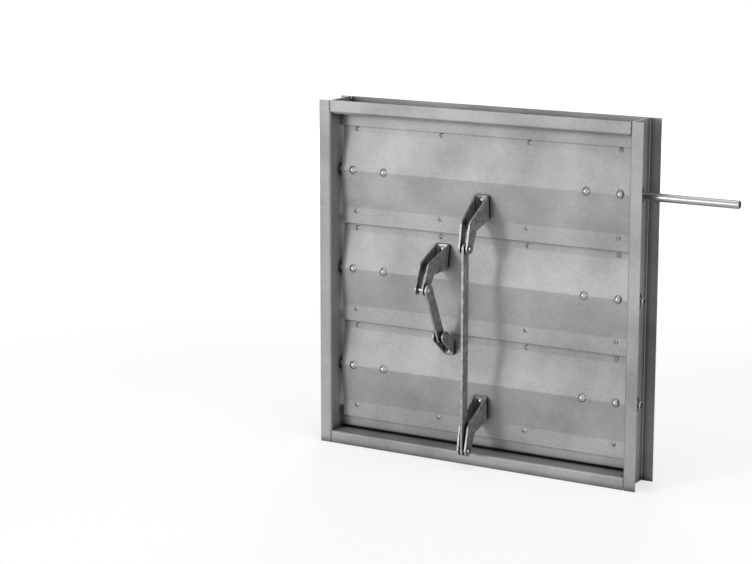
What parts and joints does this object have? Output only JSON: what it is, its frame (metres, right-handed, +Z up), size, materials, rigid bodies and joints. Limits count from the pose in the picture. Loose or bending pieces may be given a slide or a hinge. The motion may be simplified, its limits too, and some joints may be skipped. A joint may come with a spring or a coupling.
{
  "type": "industrial damper",
  "caption": "Square opposed-blade control damper: flanged sheet-steel frame, riveted hollow blades on axles, crank linkage and a long drive shaft.",
  "frame": {"origin": "middle of the frame's standing edge, under the sill", "axes": "+X along the axles towards the drive shaft, +Y along the air flow away from the linkage, +Z up"},
  "size_m": [0.6667, 0.1085, 0.5334],
  "materials": {
    "galvanised_sheet": "hot-dip galvanised, dull spangle",
    "linkage_steel": "zinc-plated mild steel, dulled by handling",
    "axle_steel": "drawn bar, zinc plated",
    "zinc_fasteners": "zinc plated",
    "bearing_nylon": "black moulded nylon"
  },
  "bodies": {
    "frame": {"left_jamb": "galvanised_sheet", "right_jamb": "galvanised_sheet", "head_rail": "galvanised_sheet", "sill_rail": "galvanised_sheet", "corner_welds": "galvanised_sheet", "head_stop": "galvanised_sheet", "sill_stop": "galvanised_sheet", "head_stop_screws": "zinc_fasteners", "sill_stop_screws": "zinc_fasteners", "bottom_right_bearing": "bearing_nylon", "bottom_left_bearing": "bearing_nylon", "middle_right_bearing": "bearing_nylon", "middle_left_bearing": "bearing_nylon", "top_right_bearing": "bearing_nylon", "top_left_bearing": "bearing_nylon"},
    "top_blade": {"top_front_skin": "galvanised_sheet", "top_back_skin": "galvanised_sheet", "top_edge_rivets": "zinc_fasteners", "top_left_axle": "axle_steel", "drive_shaft": "axle_steel", "top_axle_bolts": "zinc_fasteners", "top_axle_nuts": "zinc_fasteners", "top_crank_bracket": "linkage_steel", "top_bracket_rivets": "zinc_fasteners", "top_pivot_pin": "zinc_fasteners"},
    "middle_blade": {"middle_front_skin": "galvanised_sheet", "middle_back_skin": "galvanised_sheet", "middle_edge_rivets": "zinc_fasteners", "middle_left_axle": "axle_steel", "middle_right_axle": "axle_steel", "middle_axle_bolts": "zinc_fasteners", "middle_axle_nuts": "zinc_fasteners", "middle_crank_bracket": "linkage_steel", "middle_bracket_rivets": "zinc_fasteners", "middle_pivot_pin": "zinc_fasteners"},
    "bottom_blade": {"bottom_front_skin": "galvanised_sheet", "bottom_back_skin": "galvanised_sheet", "bottom_edge_rivets": "zinc_fasteners", "bottom_left_axle": "axle_steel", "bottom_right_axle": "axle_steel", "bottom_axle_bolts": "zinc_fasteners", "bottom_axle_nuts": "zinc_fasteners", "bottom_crank_bracket": "linkage_steel", "bottom_bracket_rivets": "zinc_fasteners", "bottom_pivot_pin": "zinc_fasteners", "link_lug": "linkage_steel", "lug_rivets": "zinc_fasteners", "lug_pin": "zinc_fasteners"},
    "tie_bar": {"tie_bar": "linkage_steel"},
    "cross_link": {"cross_link": "linkage_steel", "link_pin": "zinc_fasteners"}
  },
  "joints": [
    {"name": "top_blade_turn", "type": "hinge", "parent": "frame", "child": "top_blade", "pos_m": [0, 0, 0.42545], "axis": [-1, 0, 0], "range_deg": [0, 90]},
    {"name": "middle_blade_turn", "type": "hinge", "parent": "frame", "child": "middle_blade", "pos_m": [0, 0, 0.27305], "axis": [1, 0, 0], "range_deg": [0, 90]},
    {"name": "bottom_blade_turn", "type": "hinge", "parent": "frame", "child": "bottom_blade", "pos_m": [0, 0, 0.12065], "axis": [-1, 0, 0], "range_deg": [0, 90]},
    {"name": "tie_bar_pivot", "type": "hinge", "parent": "top_blade", "child": "tie_bar", "pos_m": [0.001, -0.05841, 0.33493], "axis": [1, 0, 0], "range_deg": [0, 90]},
    {"name": "cross_link_pivot", "type": "hinge", "parent": "bottom_blade", "child": "cross_link", "pos_m": [-0.055, -0.031, 0.19104], "axis": [1, 0, 0], "range_deg": [0, 114.71]}
  ],
  "couplings": [
    {"joint": "middle_blade_turn", "follows": "top_blade_turn", "ratio": 1},
    {"joint": "bottom_blade_turn", "follows": "top_blade_turn", "ratio": 1},
    {"joint": "tie_bar_pivot", "follows": "top_blade_turn", "ratio": 1},
    {"joint": "cross_link_pivot", "follows": "top_blade_turn", "ratio": 1.2744}
  ]
}
